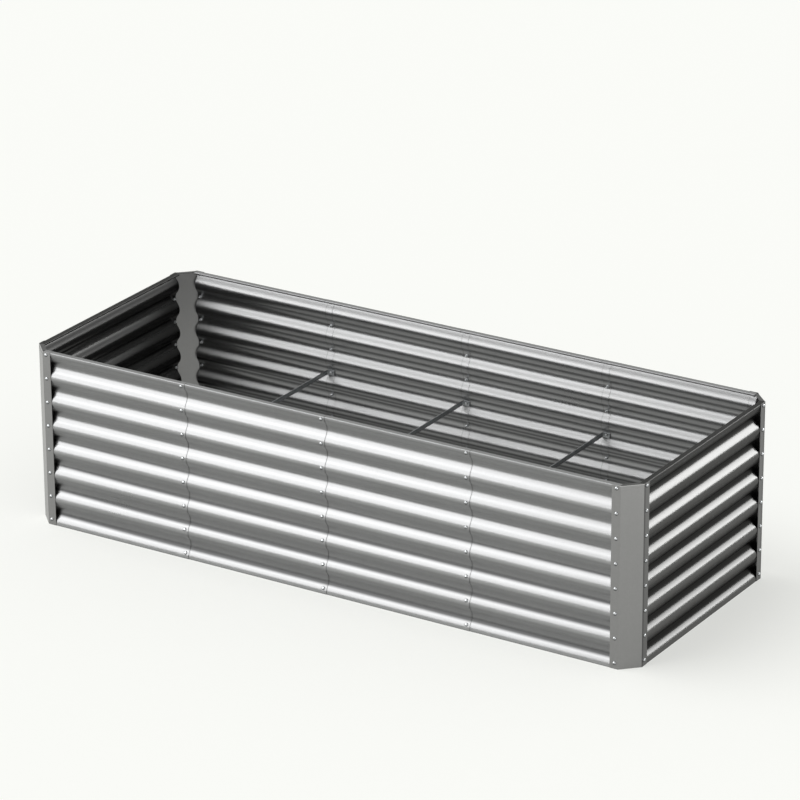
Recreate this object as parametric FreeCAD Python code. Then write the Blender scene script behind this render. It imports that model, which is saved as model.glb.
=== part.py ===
"""Raised garden bed of corrugated galvanised sheet, bolted to four chamfered corner posts.

All sizes are millimetres. The bed stands on z = 0 with its centre above the origin. X runs along
the long sides, -Y is the front and +X is the right end.

Each long side is a row of corrugated panels. A panel's right end laps over the next panel, whose
left end leans in behind it by the thickness of one sheet. Each short end is one panel. The panels
pass behind the flanges of the corner posts, and their crests rest against the flanges. At the top
every sheet is folded inward into a lip that is turned down along its inner edge, and each post has
a tab that closes the lip across the corner. A flat bar ties the two long sides together at each seam.
"""

import FreeCAD
import Part
import math
import os

# Corrugated sheet.
SHEET = 0.8
PITCH = 90.0
WAVE_DEPTH = 16.5
CREST_COUNT = 8
BOTTOM_MARGIN = 5.0
TOP_MARGIN = 4.0

# Folded lip along the top of every panel.
LIP_WIDTH = 20.0
LIP_RADIUS = 3.0
LIP_RETURN = 7.0
LIP_NOTCH = 5.0

# The bed as a whole, over the outer faces of the corner posts.
BED_LENGTH = 2370.0
BED_WIDTH = 930.0
BED_HEIGHT = BOTTOM_MARGIN + (CREST_COUNT - 1) * PITCH + TOP_MARGIN
PANELS_PER_SIDE = 4

# Lap of one long-side panel over the next.
LAP = 26.0
LAP_GAP = 0.6
NEST_CLEARANCE = 0.1

# Corner posts. The bolt lines in the flanges and the seams between the panels are evenly spaced.
POST_SHEET = 1.2
POST_CHAMFER = 57.0
POST_FLANGE = 31.0
POST_BOLT_LINE = 13.5
POST_BEND = 2.0
SEAT_CLEARANCE = 0.1
CORNER_GAP = 2.5

# Tab at the top of a post, which closes the lip across the corner.
TAB_LEG = 12.0
TAB_RELIEF = 6.0
TAB_GAP = 0.6

# Flat tie bars between the long sides.
BAR_THICKNESS = 3.0
BAR_HEIGHT = 16.0
BAR_BEND = 3.0
BAR_TAB = 30.0
BAR_TAB_PAST_SEAM = 12.0
BAR_CLEARANCE = 0.1

# Shape of the wave: equal arcs that meet at the steepest point of each flank.
WAVE_ANGLE = 2 * math.atan(2 * WAVE_DEPTH / PITCH)
WAVE_RADIUS = PITCH / (4 * math.sin(WAVE_ANGLE))

# How far the left end of a tucked panel leans in, so that the flanks of both sheets stay clear.
NEST_SHIFT = (SHEET + NEST_CLEARANCE) / math.cos(WAVE_ANGLE)

# Depth of a panel's crests behind the outer face of the post flanges.
CREST_PLANE = POST_SHEET + SEAT_CLEARANCE

UP = FreeCAD.Vector(0, 0, 1)
ORIGIN = FreeCAD.Vector(0, 0, 0)


def line(start, end):
    """A straight edge."""
    return Part.LineSegment(start, end).toShape()


def upright(depth, height):
    """A point in the section of a panel: how deep behind the crests, and how high."""
    return FreeCAD.Vector(0, depth, height)


def upright_arc(depth, height, radius, start_angle, end_angle):
    """An arc in the section of a panel, about a centre, between two angles in radians."""
    points = []
    for angle in (start_angle, (start_angle + end_angle) / 2, end_angle):
        across = radius * math.cos(angle)
        rise = radius * math.sin(angle)
        points.append(upright(depth + across, height + rise))
    return Part.Arc(*points).toShape()


def panel_surface(offset):
    """Edges along one surface of a panel's section, from the bottom edge to the end of the lip.

    The offset is 0 for the outer surface and SHEET for the inner one.
    """
    skirt = line(upright(offset, 0), upright(offset, BOTTOM_MARGIN))
    crest_centre = SHEET / 2 + WAVE_RADIUS
    crest_radius = WAVE_RADIUS + SHEET / 2 - offset
    valley_centre = SHEET / 2 + WAVE_DEPTH - WAVE_RADIUS
    valley_radius = WAVE_RADIUS - SHEET / 2 + offset
    wave = []
    last = 2 * (CREST_COUNT - 1)
    for index in range(last + 1):
        height = BOTTOM_MARGIN + index * PITCH / 2
        low = 0 if index == 0 else -WAVE_ANGLE
        high = 0 if index == last else WAVE_ANGLE
        if index % 2 == 0:
            bend = upright_arc(crest_centre, height, crest_radius, math.pi - low, math.pi - high)
        else:
            bend = upright_arc(valley_centre, height, valley_radius, low, high)
        wave.append(bend)

    fold_radius = LIP_RADIUS - offset
    fold_height = BED_HEIGHT - LIP_RADIUS
    fold_depth = LIP_WIDTH - LIP_RADIUS
    lip_height = BED_HEIGHT - offset
    edge_depth = LIP_WIDTH - offset
    rim = [
        line(upright(offset, BED_HEIGHT - TOP_MARGIN), upright(offset, fold_height)),
        upright_arc(LIP_RADIUS, fold_height, fold_radius, math.pi, math.pi / 2),
        line(upright(LIP_RADIUS, lip_height), upright(fold_depth, lip_height)),
        upright_arc(fold_depth, fold_height, fold_radius, math.pi / 2, 0),
        line(upright(edge_depth, fold_height), upright(edge_depth, BED_HEIGHT - LIP_RETURN)),
    ]
    return [skirt] + wave + rim


def panel_section():
    """The closed section of a panel, as a face across the X axis."""
    outer = panel_surface(0)
    inner = panel_surface(SHEET)
    inner_edge = LIP_WIDTH - SHEET
    lip_end = line(
        upright(LIP_WIDTH, BED_HEIGHT - LIP_RETURN),
        upright(inner_edge, BED_HEIGHT - LIP_RETURN),
    )
    foot = line(upright(SHEET, 0), upright(0, 0))
    return Part.Face(Part.Wire(outer + [lip_end] + inner[::-1] + [foot]))


def panel(left, right, tucked):
    """A panel from left to right, with the post flanges' outer faces on y = 0 and outside at -Y.

    A tucked panel leans in at its left end, where its lip is cut away under its neighbour's.
    """
    solid = panel_section().extrude(FreeCAD.Vector(right - left, 0, 0))
    solid.translate(FreeCAD.Vector(left, CREST_PLANE, 0))
    if tucked:
        notch = Part.makeBox(LAP + LAP_GAP, LIP_WIDTH, LIP_NOTCH)
        notch.translate(FreeCAD.Vector(left, CREST_PLANE, BED_HEIGHT - LIP_NOTCH))
        solid = solid.cut(notch)
        pivot = FreeCAD.Vector(right, CREST_PLANE, 0)
        lean = math.atan(NEST_SHIFT / (right - left - LAP / 2))
        solid.rotate(pivot, UP, -math.degrees(lean))
    return solid


def rounded_path(points, radius):
    """Edges through points in a plane, with an arc of the given radius in place of each corner."""
    edges = []
    start = points[0]
    for before, corner, after in zip(points, points[1:], points[2:]):
        arriving = (corner - before).normalize()
        leaving = (after - corner).normalize()
        half_turn = arriving.getAngle(leaving) / 2
        setback = radius * math.tan(half_turn)
        rise = radius * (1 / math.cos(half_turn) - 1)
        towards_centre = (leaving - arriving).normalize()
        arc_start = corner - arriving * setback
        arc_end = corner + leaving * setback
        edges.append(line(start, arc_start))
        edges.append(Part.Arc(arc_start, corner + towards_centre * rise, arc_end).toShape())
        start = arc_end
    edges.append(line(start, points[-1]))
    return edges


def offset_corners(points, normal, distance):
    """The corners of an open path in a plane, moved to its left by a distance."""
    directions = [(end - start).normalize() for start, end in zip(points, points[1:])]
    sides = [normal.cross(direction) for direction in directions]
    moved = [points[0] + sides[0] * distance]
    for index in range(1, len(points) - 1):
        bisector = (sides[index - 1] + sides[index]).normalize()
        stretch = distance / bisector.dot(sides[index])
        moved.append(points[index] + bisector * stretch)
    moved.append(points[-1] + sides[-1] * distance)
    return moved


def bent_strip(points, normal, thickness, bend):
    """The section of a bent sheet: its outer face follows the points, and every bend turns left."""
    outer = rounded_path(points, bend + thickness)
    inner_points = offset_corners(points, normal, thickness)
    inner = rounded_path(inner_points, bend)
    end = line(points[-1], inner_points[-1])
    start = line(inner_points[0], points[0])
    return Part.Face(Part.Wire(outer + [end] + inner[::-1] + [start]))


def corner_post():
    """The post of the front right corner: a chamfered face between two flanges, with a top tab."""
    front_fold = FreeCAD.Vector(BED_LENGTH / 2 - POST_CHAMFER, -BED_WIDTH / 2, 0)
    right_fold = FreeCAD.Vector(BED_LENGTH / 2, POST_CHAMFER - BED_WIDTH / 2, 0)
    path = [
        front_fold - FreeCAD.Vector(POST_FLANGE, 0, 0),
        front_fold,
        right_fold,
        right_fold + FreeCAD.Vector(0, POST_FLANGE, 0),
    ]
    body = bent_strip(path, UP, POST_SHEET, POST_BEND).extrude(UP * BED_HEIGHT)
    tab, slot = top_tab(front_fold, right_fold)
    return body.cut(slot).fuse(tab).removeSplitter()


def top_tab(front_fold, right_fold):
    """The tab bent in from the top of a post's chamfered face, and the slot it fills there."""
    along = (right_fold - front_fold).normalize()
    inward = UP.cross(along)
    width = front_fold.distanceToPoint(right_fold) - 2 * TAB_RELIEF
    lip_reach = CREST_PLANE + LIP_WIDTH
    lip_end = CORNER_GAP - TAB_GAP
    foot = front_fold + along * TAB_RELIEF + UP * (BED_HEIGHT - TAB_LEG)
    top = foot + UP * TAB_LEG
    path = [foot, top, top + inward * ((lip_reach + lip_end) / math.sqrt(2))]
    tab = bent_strip(path, -along, POST_SHEET, POST_BEND).extrude(along * width)

    between_lips = Part.makePolygon(
        [
            front_fold + FreeCAD.Vector(-lip_end, -POST_SHEET, 0),
            front_fold + FreeCAD.Vector(-lip_end, lip_reach, 0),
            right_fold + FreeCAD.Vector(-lip_reach, lip_end, 0),
            right_fold + FreeCAD.Vector(POST_SHEET, lip_end, 0),
            front_fold + FreeCAD.Vector(-lip_end, -POST_SHEET, 0),
        ]
    )
    tab = tab.common(Part.Face(between_lips).extrude(UP * BED_HEIGHT))

    across = along * width
    through = inward * POST_SHEET
    slot_section = Part.makePolygon([foot, foot + across, foot + across + through, foot + through, foot])
    slot = Part.Face(slot_section).extrude(UP * TAB_LEG)
    return tab, slot


def tie_bar(seam):
    """A flat bar on edge across the bed, with a tab at each end behind the crests of a seam."""
    crest_radius = WAVE_RADIUS - SHEET / 2
    rise = crest_radius - math.sqrt(crest_radius**2 - (BAR_HEIGHT / 2) ** 2)
    sheets = NEST_SHIFT + SHEET
    end = BED_WIDTH / 2 - CREST_PLANE - sheets - rise - BAR_CLEARANCE
    tab_end = seam + BAR_TAB_PAST_SEAM
    leg = tab_end - BAR_TAB
    path = [
        FreeCAD.Vector(tab_end, end, 0),
        FreeCAD.Vector(leg, end, 0),
        FreeCAD.Vector(leg, -end, 0),
        FreeCAD.Vector(tab_end, -end, 0),
    ]
    solid = bent_strip(path, UP, BAR_THICKNESS, BAR_BEND).extrude(UP * BAR_HEIGHT)
    middle_crest = CREST_COUNT // 2
    solid.translate(UP * (BOTTOM_MARGIN + middle_crest * PITCH - BAR_HEIGHT / 2))
    return solid


def on_side(solid, half_span, quarter_turns):
    """A copy of a solid modelled on y = 0, moved out by the half span and turned to its side."""
    placed = solid.copy()
    placed.translate(FreeCAD.Vector(0, -half_span, 0))
    placed.rotate(ORIGIN, UP, 90 * quarter_turns)
    return placed


def build():
    """Every piece of the bed, by name."""
    pieces = {}

    side_end = BED_LENGTH / 2 - POST_CHAMFER - CORNER_GAP
    bolt_span = BED_LENGTH - 2 * (POST_CHAMFER + POST_BOLT_LINE)
    seams = [bolt_span * (k / PANELS_PER_SIDE - 0.5) for k in range(1, PANELS_PER_SIDE)]
    lefts = [-side_end] + [seam - LAP / 2 for seam in seams]
    rights = [seam + LAP / 2 for seam in seams] + [side_end]
    for number, (left, right) in enumerate(zip(lefts, rights), start=1):
        side_panel = panel(left, right, tucked=number > 1)
        pieces[f"front_panel_{number}"] = on_side(side_panel, BED_WIDTH / 2, 0)
        pieces[f"back_panel_{number}"] = on_side(side_panel, BED_WIDTH / 2, 2)

    end_reach = BED_WIDTH / 2 - POST_CHAMFER - CORNER_GAP
    end_panel = panel(-end_reach, end_reach, tucked=False)
    pieces["right_end_panel"] = on_side(end_panel, BED_LENGTH / 2, 1)
    pieces["left_end_panel"] = on_side(end_panel, BED_LENGTH / 2, 3)

    post = corner_post()
    across = FreeCAD.Vector(1, 0, 0)
    along = FreeCAD.Vector(0, 1, 0)
    pieces["corner_post_front_right"] = post
    pieces["corner_post_front_left"] = post.mirror(ORIGIN, across)
    pieces["corner_post_back_right"] = post.mirror(ORIGIN, along)
    pieces["corner_post_back_left"] = post.mirror(ORIGIN, across).mirror(ORIGIN, along)

    for number, seam in enumerate(seams, start=1):
        pieces[f"tie_bar_{number}"] = tie_bar(seam)
    return pieces


os.makedirs("parts", exist_ok=True)
for name, shape in build().items():
    shape.exportStep(f"parts/{name}.step")
    box = shape.BoundBox
    size = f"{box.XLength:.1f} x {box.YLength:.1f} x {box.ZLength:.1f} mm"
    print(f"{name}: {size}, valid {shape.isValid()}")
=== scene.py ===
"""Looks of a raised garden bed of corrugated galvanised sheet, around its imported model.

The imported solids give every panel, post and tie bar its shape, and this script gives them their
finishes. It adds the bolts and nuts that hold them together, the pale floor, the lamps and the camera.
Everything is in metres. The bed stands on z = 0, X runs along its long sides and -Y is its front.
"""

from __future__ import annotations

import logging
import math
from collections.abc import Callable
from dataclasses import dataclass, field
from enum import Enum
from typing import Any, Union

import bpy
from mathutils import Matrix, Vector


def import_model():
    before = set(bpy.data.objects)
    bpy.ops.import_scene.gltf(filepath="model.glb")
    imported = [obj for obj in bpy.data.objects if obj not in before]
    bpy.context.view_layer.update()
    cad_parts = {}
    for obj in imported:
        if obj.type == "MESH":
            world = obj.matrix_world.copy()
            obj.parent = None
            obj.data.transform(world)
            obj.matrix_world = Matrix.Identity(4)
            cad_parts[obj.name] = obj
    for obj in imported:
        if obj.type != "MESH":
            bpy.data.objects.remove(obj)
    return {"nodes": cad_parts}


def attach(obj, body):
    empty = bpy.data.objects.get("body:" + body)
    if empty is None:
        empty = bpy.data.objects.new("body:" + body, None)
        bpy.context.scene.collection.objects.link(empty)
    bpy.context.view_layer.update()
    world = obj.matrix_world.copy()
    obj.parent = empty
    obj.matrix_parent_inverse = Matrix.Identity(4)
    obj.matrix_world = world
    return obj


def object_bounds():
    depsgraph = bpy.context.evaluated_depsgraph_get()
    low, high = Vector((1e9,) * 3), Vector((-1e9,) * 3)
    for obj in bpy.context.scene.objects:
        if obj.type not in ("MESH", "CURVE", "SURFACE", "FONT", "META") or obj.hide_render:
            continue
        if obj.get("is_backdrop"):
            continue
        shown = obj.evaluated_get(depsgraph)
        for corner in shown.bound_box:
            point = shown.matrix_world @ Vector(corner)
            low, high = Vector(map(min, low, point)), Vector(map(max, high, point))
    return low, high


LOG = logging.getLogger("raised_bed")

Colour = tuple[float, float, float]
Point = tuple[float, float, float]
Number = Union[float, "Signal"]


class Run(Enum):
    """The direction that a sheet was rolled in, along which its fine lines lie."""

    LENGTHWISE = "along the long sides"
    CROSSWISE = "along the short ends"
    UPRIGHT = "up a post"


class Side(Enum):
    """A side of the bed, as the number of quarter turns from its front."""

    FRONT = 0
    RIGHT = 1
    BACK = 2
    LEFT = 3


@dataclass(frozen=True)
class BedSizes:
    """Sizes of the bed, from its construction."""

    length: float = 2.370
    width: float = 0.930
    height: float = 0.639
    sheet: float = 0.0008
    pitch: float = 0.090
    wave_depth: float = 0.0165
    bottom_crest: float = 0.005
    crest_plane: float = 0.0013
    lap: float = 0.026
    nest_depth: float = 0.0012
    chamfer: float = 0.057
    flange_bolt_line: float = 0.0135
    bar_tab_face: float = 0.4576
    lowest_bolt: float = 0.020
    bolt_pitch: float = 0.087
    bolt_count: int = 8
    panels_per_side: int = 4

    @property
    def bolt_line(self) -> float:
        """Distance of a flange's bolts from the outer corner of the bed."""
        return self.chamfer + self.flange_bolt_line

    @property
    def seam_spacing(self) -> float:
        """Distance from one seam to the next."""
        return (self.length - 2 * self.bolt_line) / self.panels_per_side

    @property
    def seams(self) -> list[float]:
        """Places of the seams along a long side, from its left end."""
        middle = self.panels_per_side / 2
        return [(number - middle) * self.seam_spacing for number in range(1, self.panels_per_side)]

    @property
    def crest_radius(self) -> float:
        """Radius of the outer surface of the sheet over a crest."""
        angle = 2 * math.atan(2 * self.wave_depth / self.pitch)
        return self.pitch / (4 * math.sin(angle)) + self.sheet / 2

    def bolt_heights(self) -> list[float]:
        """Heights of the bolts of a row, from the bottom."""
        return [self.lowest_bolt + number * self.bolt_pitch for number in range(self.bolt_count)]

    def above_crest(self, height: float) -> float:
        """How far a height is above the nearest crest of the wave."""
        waves = (height - self.bottom_crest) / self.pitch
        return (waves - round(waves)) * self.pitch

    def slope(self, height: float) -> float:
        """How far the sheet near a crest leans back at a height, as an angle in radians."""
        return math.asin(self.above_crest(height) / self.crest_radius)

    def dip(self, height: float) -> float:
        """How deep the sheet lies behind its crests at a height near one of them."""
        return self.crest_radius * (1 - math.cos(self.slope(height)))


# Materials


class Signal:
    """A number that varies over a surface. Python arithmetic on it adds Math nodes."""

    def __init__(self, painter: Painter, socket: bpy.types.NodeSocket) -> None:
        """Wraps a socket.

        Args:
            painter: The painter whose material the socket is in.
            socket: The output socket that gives the number.
        """
        self.painter = painter
        self.socket = socket

    def _math(self, operation: str, *values: Number, clamp: bool = False) -> Signal:
        """Adds a Math node.

        Args:
            operation: The node's operation.
            values: Its inputs in order.
            clamp: Whether the result is held between 0 and 1.

        Returns:
            The node's result.
        """
        settings = {"operation": operation, "use_clamp": clamp}
        return self.painter.node("ShaderNodeMath", settings, dict(enumerate(values)))

    def __add__(self, other: Number) -> Signal:
        """This number plus another."""
        return self._math("ADD", self, other)

    __radd__ = __add__

    def __sub__(self, other: Number) -> Signal:
        """This number less another."""
        return self._math("SUBTRACT", self, other)

    def __rsub__(self, other: Number) -> Signal:
        """Another number less this one."""
        return self._math("SUBTRACT", other, self)

    def __mul__(self, other: Number) -> Signal:
        """This number times another."""
        return self._math("MULTIPLY", self, other)

    __rmul__ = __mul__

    def __truediv__(self, other: Number) -> Signal:
        """This number divided by another."""
        return self._math("DIVIDE", self, other)

    def __abs__(self) -> Signal:
        """The size of this number without its sign."""
        return self._math("ABSOLUTE", self)

    def __neg__(self) -> Signal:
        """This number with its sign turned."""
        return self._math("MULTIPLY", self, -1.0)

    def __round__(self) -> Signal:
        """The nearest whole number."""
        return self._math("ROUND", self)

    def sign(self) -> Signal:
        """1 where this number is positive and -1 where it is negative."""
        return self._math("SIGN", self)

    def held(self) -> Signal:
        """This number held between 0 and 1."""
        return self._math("ADD", self, 0.0, clamp=True)

    def near_zero(self, reach: float) -> Signal:
        """1 where this number is 0, falling to 0 at a distance of reach."""
        return (1.0 - abs(self) / reach).held()

    def part(self) -> Signal:
        """What is left of this number above the whole number below it."""
        return self._math("FRACT", self)

    def soft(self) -> Signal:
        """This number between 0 and 1 with a soft start and end."""
        return self * self * (3.0 - 2.0 * self)

    def step(self, start: Number, width: float) -> Signal:
        """0 below start, rising softly to 1 over a width."""
        return ((self - start) / width).held().soft()

    def hump(self, place: float, reach: float) -> Signal:
        """1 where this number is at a place, falling softly to 0 at a distance of reach."""
        return (self - place).near_zero(reach).soft()


class Painter:
    """Builds the node tree of one material or of the world."""

    def __init__(self, tree: bpy.types.NodeTree) -> None:
        """Clears a node tree to build in.

        Args:
            tree: The node tree of a material or of the world.
        """
        self.tree = tree
        tree.nodes.clear()

    @classmethod
    def for_material(cls, name: str) -> tuple[bpy.types.Material, Painter]:
        """Makes a new material.

        Args:
            name: The material's name.

        Returns:
            The material, and a painter for its nodes.
        """
        material = bpy.data.materials.new(name)
        material.use_nodes = True
        return material, cls(material.node_tree)

    def node(
        self,
        kind: str,
        settings: dict[str, Any] | None = None,
        inputs: dict[Any, Any] | None = None,
        output: Any = 0,
    ) -> Signal:
        """Adds a node.

        Args:
            kind: The node's type.
            settings: Properties of the node, set before its sockets are looked up.
            inputs: A value or a link for each socket that is named or numbered here.
            output: The name or number of the output that is wanted.

        Returns:
            The wanted output.
        """
        node = self.tree.nodes.new(kind)
        for name, value in (settings or {}).items():
            setattr(node, name, value)
        for name, value in (inputs or {}).items():
            if isinstance(value, Signal):
                self.tree.links.new(value.socket, node.inputs[name])
            else:
                node.inputs[name].default_value = value
        return Signal(self, node.outputs[output])

    def place(self, scale: Point = (1.0, 1.0, 1.0)) -> Signal:
        """The place on the object, in metres times a scale along each axis."""
        place = self.node("ShaderNodeTexCoord", output="Object")
        return self.node("ShaderNodeMapping", {"vector_type": "POINT"}, {"Vector": place, "Scale": scale})

    def along(self, axis: str) -> Signal:
        """The place on the object along one axis, in metres."""
        place = self.node("ShaderNodeTexCoord", output="Object")
        return self.node("ShaderNodeSeparateXYZ", None, {0: place}, output=axis)

    def noise(self, scale: Point, detail: float = 2.0, roughness: float = 0.5) -> Signal:
        """Smooth noise between 0 and 1, whose grains are 1 / scale metres long on each axis."""
        settings = {"noise_dimensions": "3D"}
        inputs = {"Vector": self.place(scale), "Scale": 1.0, "Detail": detail, "Roughness": roughness}
        return self.node("ShaderNodeTexNoise", settings, inputs)

    def cells(self, size: float) -> Signal:
        """A number between 0 and 1 that differs from one crystal to the next."""
        inputs = {"Vector": self.place(), "Scale": 1.0 / size}
        colour = self.node("ShaderNodeTexVoronoi", {"feature": "F1"}, inputs, output="Color")
        return self.node("ShaderNodeSeparateColor", None, {0: colour}, output="Red")

    def tint(self, colour: Colour, strength: Signal) -> Signal:
        """A colour multiplied by a number that varies over the surface."""
        inputs = {0: (*colour,), "Scale": strength}
        return self.node("ShaderNodeVectorMath", {"operation": "SCALE"}, inputs)

    def bump(self, height: Signal, depth: float, strength: float = 1.0) -> Signal:
        """A normal that is tilted by a height over the surface."""
        inputs = {"Height": height, "Distance": depth, "Strength": strength}
        return self.node("ShaderNodeBump", None, inputs)

    def metal(
        self, colour: Signal, roughness: Number, normal: Signal, metallic: Number = 1.0, edge: float = 1.0
    ) -> None:
        """Ends the material in a metal surface.

        Args:
            colour: The colour of its reflection.
            roughness: Its roughness.
            normal: Its bumped normal.
            metallic: How much of it is bare metal.
            edge: How brightly it mirrors at a glancing angle.
        """
        inputs: dict[Any, Any] = {
            "Base Color": colour,
            "Roughness": roughness,
            "Metallic": metallic,
            "Specular Tint": (edge, edge, edge, 1.0),
            "Normal": normal,
        }
        self.node_output(self.node("ShaderNodeBsdfPrincipled", None, inputs))

    def node_output(self, surface: Signal, kind: str = "ShaderNodeOutputMaterial") -> None:
        """Ends the tree in a shader, with an output node of a material's or the world's kind."""
        output = self.tree.nodes.new(kind)
        self.tree.links.new(surface.socket, output.inputs["Surface"])


# Grains to a metre of a sheet's rolling lines along X, Y and Z.
GRAIN = {
    Run.LENGTHWISE: (1.6, 420.0, 420.0),
    Run.CROSSWISE: (420.0, 1.6, 420.0),
    Run.UPRIGHT: (420.0, 420.0, 1.6),
}


@dataclass(frozen=True)
class WaveTone:
    """Painted light and shade over the wave of the sheet.

    Places and reaches are shares of the pitch, measured upwards from each crest, so that the valley is
    at 0.5, the flank that faces up lies below it and the flank that faces down above it.

    Attributes:
        dull: How much tone the sheet loses in a patch of painted shade.
        shade_from: Where the painted shade starts at the ground.
        shade_rise: How much higher it starts above the ground, times the square of the height in metres.
        shade_to: Where the painted shade ends.
        soft: How softly it starts and ends.
        crest: The painted highlight that the crest gains, and low_crest_highlight how much more near the
            ground.
        under_painted_lift: The painted light on the flank that faces down, which is painted shade below 0.
        far_shade_shift: How much higher the painted shade starts towards a side's left end, the far one from
            the camera. It starts at far_from and rises over far_soft, both shares of the bed's length.
        steep_roughness: How much rougher the steepest part is.
        steep_painted: How much of the steepest part isn't bare metal.
    """

    dull: float
    shade_from: float
    shade_rise: float
    shade_to: float
    soft: float = 0.12
    crest: float = 0.50
    crest_place: float = 0.02
    crest_reach: float = 0.13
    low_crest_highlight: float = 0.0
    under_painted_lift: float = 0.45
    under_place: float = 0.735
    under_reach: float = 0.17
    far_shade_shift: float = 0.0
    far_from: float = 0.24
    far_soft: float = 0.30
    steep_place: float = 0.75
    steep_reach: float = 0.16
    steep_roughness: float = 0.22
    steep_painted: float = 0.40

    def tone(self, painter: Painter, sizes: BedSizes) -> Signal:
        """The painted light and shade over the wave.

        Args:
            painter: The painter of the material.
            sizes: The sizes of the bed.

        Returns:
            1 for the sheet's own colour, lower where shade is painted and higher where light is painted.
        """
        height = painter.along("Z")
        share = self.share(painter, sizes)
        start = height * height * self.shade_rise + (self.shade_from - self.soft / 2)
        if self.far_shade_shift:
            towards_far = painter.along("X") * painter.along("Y").sign()
            far = towards_far.step(sizes.length * self.far_from, sizes.length * self.far_soft)
            start = start + far * self.far_shade_shift
        # Painted shade: a darker patch on each wave, from shade_from to shade_to.
        patch = share.step(start, self.soft) * (1.0 - share.step(self.shade_to, self.soft))
        # Painted highlights on the crests, and painted light on the flank that faces down.
        crest = share.hump(self.crest_place, self.crest_reach)
        crest = crest + share.hump(self.crest_place + 1.0, self.crest_reach)
        under_painted_lift = share.hump(self.under_place, self.under_reach)
        crest = crest * ((1.0 - height / sizes.height) * self.low_crest_highlight + self.crest)
        return (1.0 + crest + under_painted_lift * self.under_painted_lift) * (1.0 - patch * self.dull)

    def steep(self, painter: Painter, sizes: BedSizes) -> Signal:
        """Where the sheet leans over most, which is too dull to mirror the wave below it sharply.

        Args:
            painter: The painter of the material.
            sizes: The sizes of the bed.

        Returns:
            1 on the steepest part of the flanks that face down and 0 away from it.
        """
        return self.share(painter, sizes).hump(self.steep_place, self.steep_reach)

    def share(self, painter: Painter, sizes: BedSizes) -> Signal:
        """How far up from the crest below it a place is, as a share of the pitch."""
        return ((painter.along("Z") - sizes.bottom_crest) / sizes.pitch).part()


@dataclass(frozen=True)
class PostTone:
    """Painted light and shade on a corner post: painted shade on the end flanges and the tab, a painted
    highlight on the top edge.

    Attributes:
        end_painted_shade: How much tone the flanges on the ends lose, as painted shade.
        fold_painted_shade: How much more painted shade they get beside their fold, within fold_reach.
        tab_painted_shade: How much tone the tab across the corner loses, as painted shade.
        edge_painted_highlight: The painted highlight that the chamfer's top edge gains, over edge_height.
        skin: Depth of the sheet that belongs to the chamfer's outer face.
        inset: Depth at which the tab starts behind the flanges.
    """

    end_painted_shade: float = 0.44
    fold_painted_shade: float = 0.25
    fold_reach: float = 0.012
    tab_painted_shade: float = 0.8
    edge_painted_highlight: float = 0.9
    edge_height: float = 0.0014
    skin: float = 0.0012
    inset: float = 0.002
    soft: float = 0.0008

    def tone(self, painter: Painter, sizes: BedSizes) -> Signal:
        """The painted light and shade over the post.

        Args:
            painter: The painter of the material.
            sizes: The sizes of the bed.

        Returns:
            What the tone is multiplied by, which is 1 on the chamfered face below its top edge.
        """
        inside_end = sizes.length / 2 - abs(painter.along("X"))
        inside_side = sizes.width / 2 - abs(painter.along("Y"))
        behind_chamfer = (inside_end + inside_side - sizes.chamfer) * math.sqrt(0.5)
        below_top = sizes.height - painter.along("Z")
        behind_skin = behind_chamfer.step(self.skin, self.soft)
        on_end = 1.0 - inside_end.step(self.soft / 2, self.skin)
        by_fold = (inside_side - sizes.chamfer).hump(0.0, self.fold_reach)
        on_tab = inside_end.step(self.inset, self.inset / 2) * inside_side.step(self.inset, self.inset / 2)
        on_tab = on_tab * behind_skin
        top_edge = (1.0 - below_top.step(self.edge_height, self.soft)) * (1.0 - behind_skin)
        # Painted shade on the end flanges, more beside their fold, and on the tab; a painted highlight on
        # the top edge.
        tone = 1.0 - on_end * (by_fold * self.fold_painted_shade + self.end_painted_shade)
        return tone * (1.0 - on_tab * self.tab_painted_shade) * (1.0 + top_edge * self.edge_painted_highlight)


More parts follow.
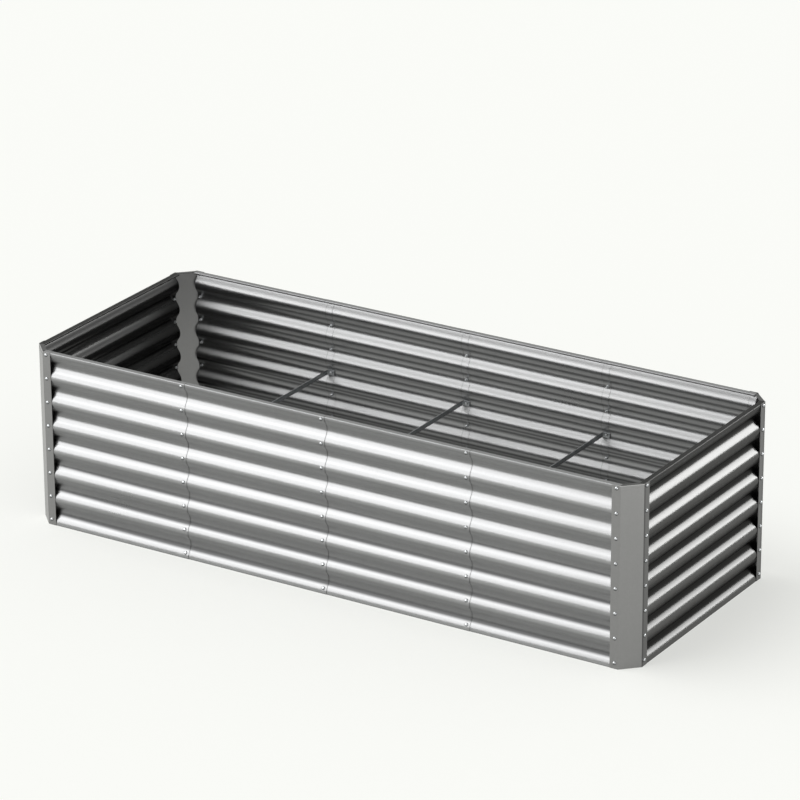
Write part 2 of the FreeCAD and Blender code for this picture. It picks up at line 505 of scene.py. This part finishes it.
@dataclass(frozen=True)
class SheetFinish:
    """Galvanised sheet: fine rolling lines, faint zinc crystals and slow changes of tone, with the painted
    light and shade of its wave or post tone.

    Attributes:
        lines: How much the rolling lines change the tone, and line_depth how deep they are.
        crystals: How much the zinc crystals change the tone.
        clouds: How much the slow changes do, with cloud_grain of them to a metre.
        edge: How brightly the sheet mirrors at a glancing angle.
        lap_painted_shade: How dark the painted shadow beside a lap is, and lap_reach how far it reaches.
        lip_height: Height of the lip's fold, and lip_soft how softly its painted shade and roughness start.
    """

    name: str
    run: Run
    colour: Colour
    roughness: float
    lines: float = 0.10
    line_depth: float = 0.000006
    crystals: float = 0.06
    crystal_size: float = 0.006
    clouds: float = 0.10
    cloud_grain: float = 3.5
    cloud_roughness: float = 0.06
    crystal_roughness: float = 0.03
    edge: float = 1.0
    lap_painted_shade: float = 0.35
    lap_reach: float = 0.0022
    lip_height: float = 0.0022
    lip_soft: float = 0.0012
    lip_painted_shade: float = 0.30
    lip_roughness: float = 0.22
    wave: WaveTone | None = None
    post: PostTone | None = None

    def material(self, sizes: BedSizes) -> bpy.types.Material:
        """Makes the finish.

        Args:
            sizes: The sizes of the bed, which place its waves, lips, laps and folds.

        Returns:
            The material.
        """
        material, painter = Painter.for_material(self.name)
        lines = painter.noise(GRAIN[self.run], detail=3.0, roughness=0.6)
        crystals = painter.cells(self.crystal_size)
        clouds = painter.noise((self.cloud_grain,) * 3, detail=3.0)
        tone = 1.0 + (lines - 0.5) * self.lines + (crystals - 0.5) * self.crystals
        tone = tone + (clouds - 0.5) * self.clouds
        if self.post is not None:
            tone = tone * self.post.tone(painter, sizes)
        if self.run is Run.LENGTHWISE:
            # Painted shadow of the lapping edge on the covered panel.
            tone = tone * (1.0 - self.lap_painted_shadow(painter, sizes) * self.lap_painted_shade)
        roughness = self.roughness + (clouds - 0.5) * self.cloud_roughness
        roughness = roughness + (crystals - 0.5) * self.crystal_roughness
        metallic: Number = 1.0
        if self.wave is not None:
            lip = self.lip(painter, sizes)
            # Painted shade on the lip's fold, which is also rougher.
            tone = tone * self.wave.tone(painter, sizes) * (1.0 - lip * self.lip_painted_shade)
            steep = self.wave.steep(painter, sizes)
            roughness = roughness + steep * self.wave.steep_roughness + lip * self.lip_roughness
            metallic = 1.0 - steep * self.wave.steep_painted
        colour = painter.tint(self.colour, tone)
        normal = painter.bump(lines, self.line_depth, strength=0.5)
        painter.metal(colour, roughness, normal, metallic, self.edge)
        return material

    def lip(self, painter: Painter, sizes: BedSizes) -> Signal:
        """Where the lip is, whose fold is darker by painted shade and rougher than the sheet below it.

        Args:
            painter: The painter of the material.
            sizes: The sizes of the bed.

        Returns:
            1 on the lip and 0 below it.
        """
        below_top = sizes.height - painter.along("Z")
        return 1.0 - below_top.step(self.lip_height, self.lip_soft)

    def lap_painted_shadow(self, painter: Painter, sizes: BedSizes) -> Signal:
        """A painted shadow: a dark line on the covered panel, close to the edge of the one that laps over
        it.

        Args:
            painter: The painter of the material.
            sizes: The sizes of the bed.

        Returns:
            1 in the middle of the line and 0 outside it.
        """
        front = -painter.along("Y").sign()
        line = sizes.lap / 2 + self.lap_reach / 2
        from_first = (painter.along("X") * front - line) / sizes.seam_spacing
        return ((from_first - round(from_first)) * sizes.seam_spacing).near_zero(self.lap_reach)


@dataclass(frozen=True)
class ZincFinish:
    """Zinc-plated steel of bolts, nuts and bars, with a faint mottle.

    Attributes:
        mottle: How much its spots and clouds change the tone.
        painted_underside_shade: How much tone a bolt's head loses as painted shade below lower_from,
            measured
        from its middle. Above that the loss fades out over lower_soft.
    """

    name: str
    colour: Colour
    roughness: float
    mottle: float = 0.16
    mottle_roughness: float = 0.12
    spot_grain: float = 240.0
    spot_depth: float = 0.00004
    cloud_grain: float = 18.0
    painted_underside_shade: float = 0.0
    lower_from: float = -0.0032
    lower_soft: float = 0.0036

    def material(self, sizes: BedSizes) -> bpy.types.Material:
        """Makes the finish.

        Args:
            sizes: The sizes of the bed, for the heights of the bolts.

        Returns:
            The material.
        """
        material, painter = Painter.for_material(self.name)
        spots = painter.noise((self.spot_grain,) * 3, detail=3.0)
        clouds = painter.noise((self.cloud_grain,) * 3)
        tone = 1.0 + (spots - 0.5) * self.mottle + (clouds - 0.5) * self.mottle
        # Painted shade on the lower half of each bolt head.
        if self.painted_underside_shade:
            bolts = (painter.along("Z") - sizes.lowest_bolt) / sizes.bolt_pitch
            above_middle = (bolts - round(bolts)) * sizes.bolt_pitch
            lower = 1.0 - above_middle.step(self.lower_from, self.lower_soft)
            tone = tone * (1.0 - lower * self.painted_underside_shade)
        roughness = self.roughness + (spots - 0.5) * self.mottle_roughness
        normal = painter.bump(spots, self.spot_depth, strength=0.4)
        painter.metal(painter.tint(self.colour, tone), roughness, normal)
        return material


# Pieces


def select_only(piece: bpy.types.Object) -> None:
    """Selects one object and makes it the active one."""
    bpy.ops.object.select_all(action="DESELECT")
    piece.select_set(True)
    bpy.context.view_layer.objects.active = piece


def edit(piece: bpy.types.Object) -> None:
    """Opens an object in edit mode with nothing selected."""
    select_only(piece)
    bpy.ops.object.mode_set(mode="EDIT")
    bpy.ops.mesh.select_all(action="DESELECT")


def pick_faces(piece: bpy.types.Object, direction: Vector, least: float = 0.9) -> None:
    """Selects the faces that look in a direction, in edit mode.

    Args:
        piece: The object.
        direction: The direction as a unit vector.
        least: The least cosine between a face's normal and the direction.
    """
    edit(piece)
    bpy.ops.object.mode_set(mode="OBJECT")
    bpy.context.tool_settings.mesh_select_mode = (False, False, True)
    for face in piece.data.polygons:
        face.select = face.normal.dot(direction) > least
    bpy.ops.object.mode_set(mode="EDIT")


def settle(piece: bpy.types.Object, smooth_angle: float) -> None:
    """Closes edit mode, points all faces outwards and shades the gentle edges smooth."""
    bpy.ops.mesh.select_all(action="SELECT")
    bpy.ops.mesh.normals_make_consistent(inside=False)
    bpy.ops.object.mode_set(mode="OBJECT")
    select_only(piece)
    bpy.ops.object.shade_smooth_by_angle(angle=smooth_angle)


def stretch(distance: float, scale: float) -> None:
    """Extrudes the selected faces outwards along -Y and scales them about their middle."""
    bpy.ops.mesh.extrude_region_move(TRANSFORM_OT_translate={"value": (0.0, -distance, 0.0)})
    bpy.ops.transform.resize(value=(scale, scale, scale))


@dataclass
class Fastener:
    """One round-headed bolt with its nut. The bolt's axis is Y, its seat is y = 0 and its head is at -Y.

    Attributes:
        end: How far the shank stands out of the nut.
        end_chamfer: The chamfer of the shank's end, as a share of its radius.
        dome: The head's steps, each a share of its height and how much smaller it ends.
        nut_chamfer: The chamfer of the nut's outer face, as a share of its width, with nut_edge for
            the edge of the face that it is seated on.
        nut_rim: The nut's outer face around the shank, as a share of what the shank leaves.
        nut_hollow: How deep that face is sunk inside its rim, as a share of the nut's height.
        head_smooth: The steepest edge in degrees that is shaded smooth on a bolt, with nut_smooth for
            a nut.
    """

    head_radius: float = 0.0062
    head_height: float = 0.0042
    shank_radius: float = 0.0028
    nut_width: float = 0.010
    nut_height: float = 0.005
    end: float = 0.002
    head_sides: int = 16
    shank_sides: int = 10
    nut_sides: int = 6
    end_chamfer: float = 0.25
    dome: tuple[tuple[float, float], ...] = ((0.30, 1.0), (0.32, 0.90), (0.24, 0.76), (0.14, 0.52))
    nut_chamfer: float = 0.07
    nut_edge: float = 0.06
    nut_rim: float = 0.55
    nut_hollow: float = 0.25
    head_smooth: float = 50.0
    nut_smooth: float = 25.0

    def bolt(self, grip: float) -> bpy.types.Object:
        """Models the bolt.

        Args:
            grip: The thickness of what it holds.

        Returns:
            The bolt, with a domed head and a shank that ends past its nut.
        """
        upright = (math.pi / 2, 0.0, 0.0)
        bpy.ops.object.select_all(action="DESELECT")
        bpy.ops.mesh.primitive_circle_add(
            vertices=self.head_sides, radius=self.head_radius, fill_type="NGON", rotation=upright
        )
        bolt = bpy.context.active_object
        bpy.ops.object.transform_apply(location=True, rotation=True, scale=True)
        edit(bolt)
        bpy.ops.mesh.select_all(action="SELECT")
        for rise, scale in self.dome:
            stretch(self.head_height * rise, scale)
        bpy.ops.object.mode_set(mode="OBJECT")

        length = grip + self.nut_height + self.end
        bpy.ops.object.select_all(action="DESELECT")
        bpy.ops.mesh.primitive_cylinder_add(
            vertices=self.shank_sides,
            radius=self.shank_radius,
            depth=length,
            location=(0.0, length / 2, 0.0),
            rotation=upright,
        )
        shank = bpy.context.active_object
        bpy.ops.object.transform_apply(location=True, rotation=True, scale=True)
        pick_faces(shank, Vector((0.0, 1.0, 0.0)))
        bpy.ops.mesh.bevel(offset=self.shank_radius * self.end_chamfer, segments=1)
        bpy.ops.object.mode_set(mode="OBJECT")
        bolt.select_set(True)
        bpy.context.view_layer.objects.active = bolt
        bpy.ops.object.join()
        edit(bolt)
        settle(bolt, math.radians(self.head_smooth))
        return bolt

    def nut(self) -> bpy.types.Object:
        """Models the nut, seated on y = 0 with its body at +Y.

        Returns:
            The nut, with a chamfered outer face that is sunk around the shank.
        """
        radius = self.nut_width / math.sqrt(3)
        bpy.ops.object.select_all(action="DESELECT")
        bpy.ops.mesh.primitive_cylinder_add(
            vertices=self.nut_sides,
            radius=radius,
            depth=self.nut_height,
            location=(0.0, self.nut_height / 2, 0.0),
            rotation=(math.pi / 2, 0.0, 0.0),
        )
        nut = bpy.context.active_object
        bpy.ops.object.transform_apply(location=True, rotation=True, scale=True)
        pick_faces(nut, Vector((0.0, 1.0, 0.0)))
        bpy.ops.mesh.bevel(offset=self.nut_width * self.nut_chamfer, segments=1)
        bpy.ops.object.mode_set(mode="OBJECT")
        pick_faces(nut, Vector((0.0, 1.0, 0.0)))
        bpy.ops.mesh.inset(thickness=(radius - self.shank_radius) * self.nut_rim, depth=0.0)
        sunk = (0.0, -self.nut_height * self.nut_hollow, 0.0)
        bpy.ops.mesh.extrude_region_move(TRANSFORM_OT_translate={"value": sunk})
        bpy.ops.object.mode_set(mode="OBJECT")
        pick_faces(nut, Vector((0.0, -1.0, 0.0)))
        bpy.ops.mesh.inset(thickness=self.nut_width * self.nut_edge, depth=0.0)
        settle(nut, math.radians(self.nut_smooth))
        return nut


@dataclass(frozen=True)
class Seat:
    """Where one bolt goes on the front of the bed, before it is turned to its side.

    Attributes:
        along: Its place along the side.
        height: Its height above the ground.
        head_face: Where its head is seated, along Y, with nut_face for its nut.
        lean: How far the sheet leans back there, in radians.
    """

    along: float
    height: float
    head_face: float
    nut_face: float
    lean: float


@dataclass
class BoltRow:
    """A row of bolts with their nuts, from the bottom of the bed to its top.

    Attributes:
        twist_degrees: How far each one is turned past the one below it.
    """

    name: str
    side: Side
    seats: list[Seat]
    twist_degrees: float = 47.0

    def build(self, bolt: bpy.types.Object, nut: bpy.types.Object) -> list[bpy.types.Object]:
        """Copies a bolt and a nut to every seat and joins them into two pieces.

        Args:
            bolt: The bolt to copy.
            nut: The nut to copy.

        Returns:
            The row of bolts and the row of nuts.
        """
        bolts = self._row(bolt, f"{self.name}_bolts", lambda seat: seat.head_face)
        nuts = self._row(nut, f"{self.name}_nuts", lambda seat: seat.nut_face)
        return [bolts, nuts]

    def _row(self, model: bpy.types.Object, name: str, face: Callable[[Seat], float]) -> bpy.types.Object:
        """Copies one model to every seat.

        Args:
            model: The bolt or nut.
            name: The name of the row.
            face: Gives the face of a seat that the model stands on.

        Returns:
            The joined copies, with their places in the mesh.
        """
        turn = Matrix.Rotation(self.side.value * math.pi / 2, 4, "Z")
        copies = []
        for number, seat in enumerate(self.seats):
            copy = model.copy()
            copy.data = model.data.copy()
            bpy.context.scene.collection.objects.link(copy)
            place = Matrix.Translation((seat.along, face(seat), seat.height))
            lean = Matrix.Rotation(-seat.lean, 4, "X")
            twist = Matrix.Rotation(math.radians(self.twist_degrees * number), 4, "Y")
            copy.matrix_world = turn @ place @ lean @ twist
            copies.append(copy)
        bpy.ops.object.select_all(action="DESELECT")
        for copy in copies:
            copy.select_set(True)
        bpy.context.view_layer.objects.active = copies[0]
        bpy.ops.object.join()
        row = bpy.context.active_object
        bpy.ops.object.transform_apply(location=True, rotation=True, scale=True)
        row.name = name
        row.data.name = name
        return row


@dataclass
class Fasteners:
    """All bolts and nuts of the bed: one row in every seam and one in every flange of a post.

    Attributes:
        grip: The thickness that every bolt is long enough for.
    """

    sizes: BedSizes
    fastener: Fastener = field(default_factory=Fastener)
    grip: float = 0.0056
    # The bolts' finish paints shade on the lower half of each head.
    finish: ZincFinish = ZincFinish("bright_zinc", (0.40, 0.41, 0.42), 0.30, painted_underside_shade=0.86)
    nut_finish: ZincFinish = ZincFinish("nut_zinc", (0.42, 0.43, 0.44), 0.34)

    def seam_row(self, name: str, side: Side, seam: float) -> BoltRow:
        """Seats of a row through the lap of two panels."""
        sizes = self.sizes
        face = -sizes.width / 2 + sizes.crest_plane
        seats = []
        for number, height in enumerate(sizes.bolt_heights()):
            dip = sizes.dip(height)
            inner = face + dip + sizes.nest_depth + sizes.sheet
            lean = sizes.slope(height)
            # The bolt above the middle also holds the tab of a tie bar, which stands upright.
            if number == sizes.bolt_count // 2:
                inner = -sizes.bar_tab_face
                lean = 0.0
            seats.append(Seat(seam, height, face + dip, inner, lean))
        return BoltRow(name, side, seats)

    def flange_row(self, name: str, side: Side, along: float) -> BoltRow:
        """Seats of a row through a flange of a post and the panel behind it."""
        sizes = self.sizes
        face = -sizes.width / 2 if side in (Side.FRONT, Side.BACK) else -sizes.length / 2
        seats = []
        for height in sizes.bolt_heights():
            inner = face + sizes.crest_plane + sizes.dip(height) + sizes.sheet
            seats.append(Seat(along, height, face, inner, 0.0))
        return BoltRow(name, side, seats)

    def rows(self) -> list[BoltRow]:
        """All rows of the bed.

        Returns:
            The rows of the seams and of the flanges.
        """
        sizes = self.sizes
        rows = []
        for side in (Side.FRONT, Side.BACK):
            for number, seam in enumerate(sizes.seams, start=1):
                rows.append(self.seam_row(f"{side.name.lower()}_seam_{number}", side, seam))
        for side in Side:
            span = sizes.length if side in (Side.FRONT, Side.BACK) else sizes.width
            for hand, sign in (("left", -1), ("right", 1)):
                along = sign * (span / 2 - sizes.bolt_line)
                rows.append(self.flange_row(f"{side.name.lower()}_{hand}_flange", side, along))
        return rows

    def build(self) -> list[bpy.types.Object]:
        """Models every bolt and nut and gives them their finish.

        Returns:
            The pieces.
        """
        bolt = self.fastener.bolt(self.grip)
        nut = self.fastener.nut()
        bright = self.finish.material(self.sizes)
        dull = self.nut_finish.material(self.sizes)
        pieces = []
        for row in self.rows():
            bolts, nuts = row.build(bolt, nut)
            dress(bolts, bright)
            dress(nuts, dull)
            pieces += [bolts, nuts]
        for model in (bolt, nut):
            bpy.data.objects.remove(model)
        return pieces


def dress(piece: bpy.types.Object, material: bpy.types.Material) -> None:
    """Gives a piece one material all over."""
    piece.data.materials.clear()
    piece.data.materials.append(material)


@dataclass
class Sheetwork:
    """The panels, posts and tie bars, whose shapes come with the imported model."""

    sizes: BedSizes
    side_finish: SheetFinish = SheetFinish(
        "side_sheet",
        Run.LENGTHWISE,
        (0.195, 0.196, 0.198),
        0.30,
        # Painted shade in a patch on each wave, painted highlights on the crests and painted light on the
        # flanks that face down.
        wave=WaveTone(dull=0.78, shade_from=0.275, shade_rise=0.98, shade_to=0.385, far_shade_shift=0.07),
    )
    # The end panels are the same sheet as the sides; their darker colour and weaker glancing reflection are
    # painted shade.
    end_painted_shade_finish: SheetFinish = SheetFinish(
        "end_sheet_painted_shade",
        Run.CROSSWISE,
        (0.080, 0.080, 0.079),
        0.25,
        edge=0.5,
        # Painted shade over most of each wave, painted highlights on the low crests and painted shade on the
        # flanks that face down.
        wave=WaveTone(
            dull=0.62,
            shade_from=0.238,
            shade_rise=0.52,
            shade_to=0.62,
            soft=0.32,
            crest=0.0,
            crest_reach=0.26,
            low_crest_highlight=0.95,
            under_painted_lift=-0.16,
            under_place=0.80,
            steep_painted=0.7,
        ),
    )
    post_finish: SheetFinish = SheetFinish(
        "post_sheet_metal",
        Run.UPRIGHT,
        (0.240, 0.239, 0.238),
        0.31,
        lines=0.05,
        crystals=0.03,
        clouds=0.05,
        # The posts' tone paints shade on the end flanges and tab and a highlight on the top edge.
        post=PostTone(),
    )
    bar_finish: ZincFinish = ZincFinish("bar_steel", (0.30, 0.31, 0.32), 0.36)

    def dress(self, nodes: dict[str, bpy.types.Object]) -> None:
        """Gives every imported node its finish.

        Args:
            nodes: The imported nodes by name.
        """
        side = self.side_finish.material(self.sizes)
        # The end panels get the darker copy of the sheet, which is painted shade.
        end = self.end_painted_shade_finish.material(self.sizes)
        post = self.post_finish.material(self.sizes)
        bar = self.bar_finish.material(self.sizes)
        for name, node in nodes.items():
            if name.startswith(("front_panel", "back_panel")):
                material = side
            elif name.endswith("end_panel"):
                material = end
            elif name.startswith("corner_post"):
                material = post
            else:
                material = bar
            for slot in node.material_slots:
                slot.material = material
            LOG.info("%s wears %s", name, material.name)


# Studio


@dataclass(frozen=True)
class Softbox:
    """A large white lamp, turned towards a point near the bed, that only shiny metal shows."""

    name: str
    place: Point
    target: Point
    width: float
    height: float
    radiance: float

    def build(self) -> bpy.types.Object:
        """Makes the lamp.

        Returns:
            The lamp.
        """
        light = bpy.data.lights.new(self.name, "AREA")
        light.shape = "RECTANGLE"
        light.size = self.width
        light.size_y = self.height
        light.energy = self.radiance * math.pi * self.width * self.height
        lamp = bpy.data.objects.new(self.name, light)
        bpy.context.scene.collection.objects.link(lamp)
        lamp.location = self.place
        towards = Vector(self.target) - Vector(self.place)
        lamp.rotation_euler = towards.to_track_quat("-Z", "Y").to_euler()
        lamp.visible_camera = False
        lamp.visible_diffuse = False
        return lamp


@dataclass(frozen=True)
class SoftSun:
    """A wide soft light from far away, which gives the floor the bed's soft shadow."""

    name: str
    towards: Point
    level: float
    spread: float

    def build(self) -> bpy.types.Object:
        """Makes the light.

        Returns:
            The light.
        """
        light = bpy.data.lights.new(self.name, "SUN")
        light.energy = self.level * math.pi
        light.angle = math.radians(self.spread)
        sun = bpy.data.objects.new(self.name, light)
        bpy.context.scene.collection.objects.link(sun)
        sun.rotation_euler = Vector(self.towards).to_track_quat("-Z", "Y").to_euler()
        return sun


@dataclass
class Studio:
    """The pale floor, the lamps, the white surroundings and the camera.

    Attributes:
        own_light: The share of the floor's look that no shadow darkens.
        fill: The level of the surroundings as light, where 1 is the level that is seen.
        yaw: The camera's turn to the left, with pitch its tilt down and roll its turn about its own
            axis, all in degrees.
    """

    floor_colour: Colour = (0.975, 0.982, 0.955)
    floor_size: float = 90.0
    own_light: float = 0.50
    fill: float = 0.64
    key: SoftSun = SoftSun("key_light", (0.62, 0.30, -1.0), 0.42, 50.0)
    lamps: tuple[Softbox, ...] = (
        Softbox("front_softbox", (-2.75, -4.2, 2.5), (-0.6, -0.46, 0.35), 4.4, 5.0, 4.0),
        Softbox("right_softbox", (3.3, 3.4, 1.85), (1.18, 0.0, 0.4), 1.7, 2.8, 11.6),
        Softbox("corner_softbox", (4.1, -2.3, 1.2), (1.15, -0.43, 0.5), 1.6, 2.3, 4.2),
    )
    camera_place: Point = (7.4238, -11.7763, 6.1416)
    yaw: float = 32.171
    pitch: float = 21.931
    roll: float = -0.332
    focal_pixels: float = 4454.0
    picture_pixels: float = 800.0
    sensor_width: float = 36.0
    view_distance: float = 200.0

    def seen(self, painter: Painter) -> Signal:
        """1 for rays from the camera and for what metal and glass show, 0 for light that spreads."""
        camera = painter.node("ShaderNodeLightPath", output="Is Camera Ray")
        glossy = painter.node("ShaderNodeLightPath", output="Is Glossy Ray")
        through = painter.node("ShaderNodeLightPath", output="Is Transmission Ray")
        return (camera + glossy + through).held()

    def floor(self) -> bpy.types.Object:
        """Makes the floor, which is white and still keeps a part of the bed's shadow.

        Returns:
            The floor.
        """
        bpy.ops.object.select_all(action="DESELECT")
        bpy.ops.mesh.primitive_plane_add(size=self.floor_size)
        floor = bpy.context.active_object
        floor.name = "studio_floor"
        material, painter = Painter.for_material("pale_floor")
        lit = painter.node("ShaderNodeBsdfDiffuse", None, {"Color": (*self.floor_colour, 1.0)})
        own = painter.node("ShaderNodeEmission", None, {"Color": (*self.floor_colour, 1.0), "Strength": 1.0})
        share = self.seen(painter) * self.own_light
        painter.node_output(painter.node("ShaderNodeMixShader", None, {0: share, 1: lit, 2: own}))
        dress(floor, material)
        floor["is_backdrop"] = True
        return floor

    def surroundings(self) -> None:
        """Makes the white world, which lights the bed less than it shows."""
        world = bpy.data.worlds.new("white_surroundings")
        bpy.context.scene.world = world
        world.use_nodes = True
        painter = Painter(world.node_tree)
        seen = self.seen(painter)
        strength = seen + (1.0 - seen) * self.fill
        background = painter.node(
            "ShaderNodeBackground", None, {"Color": (*self.floor_colour, 1.0), "Strength": strength}
        )
        painter.node_output(background, "ShaderNodeOutputWorld")

    def camera(self) -> bpy.types.Object:
        """Makes the camera.

        Returns:
            The camera, at the photograph's place and angle.
        """
        data = bpy.data.cameras.new("camera")
        data.sensor_width = self.sensor_width
        data.lens = self.focal_pixels * self.sensor_width / self.picture_pixels
        data.clip_end = self.view_distance
        camera = bpy.data.objects.new("camera", data)
        bpy.context.scene.collection.objects.link(camera)
        turn = Matrix.Rotation(math.radians(self.yaw), 4, "Z")
        tilt = Matrix.Rotation(math.radians(90 - self.pitch), 4, "X")
        roll = Matrix.Rotation(math.radians(self.roll), 4, "Z")
        camera.matrix_world = Matrix.Translation(self.camera_place) @ turn @ tilt @ roll
        bpy.context.scene.camera = camera
        return camera

    def build(self) -> None:
        """Sets up the whole studio."""
        self.floor()
        self.surroundings()
        self.key.build()
        for lamp in self.lamps:
            lamp.build()
        self.camera()
        bpy.context.scene.view_settings.view_transform = "Standard"


def main() -> None:
    """Dresses the bed, adds its fasteners and sets up the studio."""
    logging.basicConfig(level=logging.INFO, format="%(message)s")
    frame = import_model()
    cad_low, cad_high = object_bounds()
    bpy.ops.object.select_all(action="DESELECT")

    sizes = BedSizes()
    Studio().build()
    Sheetwork(sizes).dress(frame["nodes"])
    for piece in Fasteners(sizes).build():
        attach(piece, "root")
        LOG.info("%s: %d faces", piece.name, len(piece.data.polygons))

    low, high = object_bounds()
    {"cad": [list(cad_low), list(cad_high)], "visual": [list(low), list(high)]}


if __name__ == "__main__":
    main()
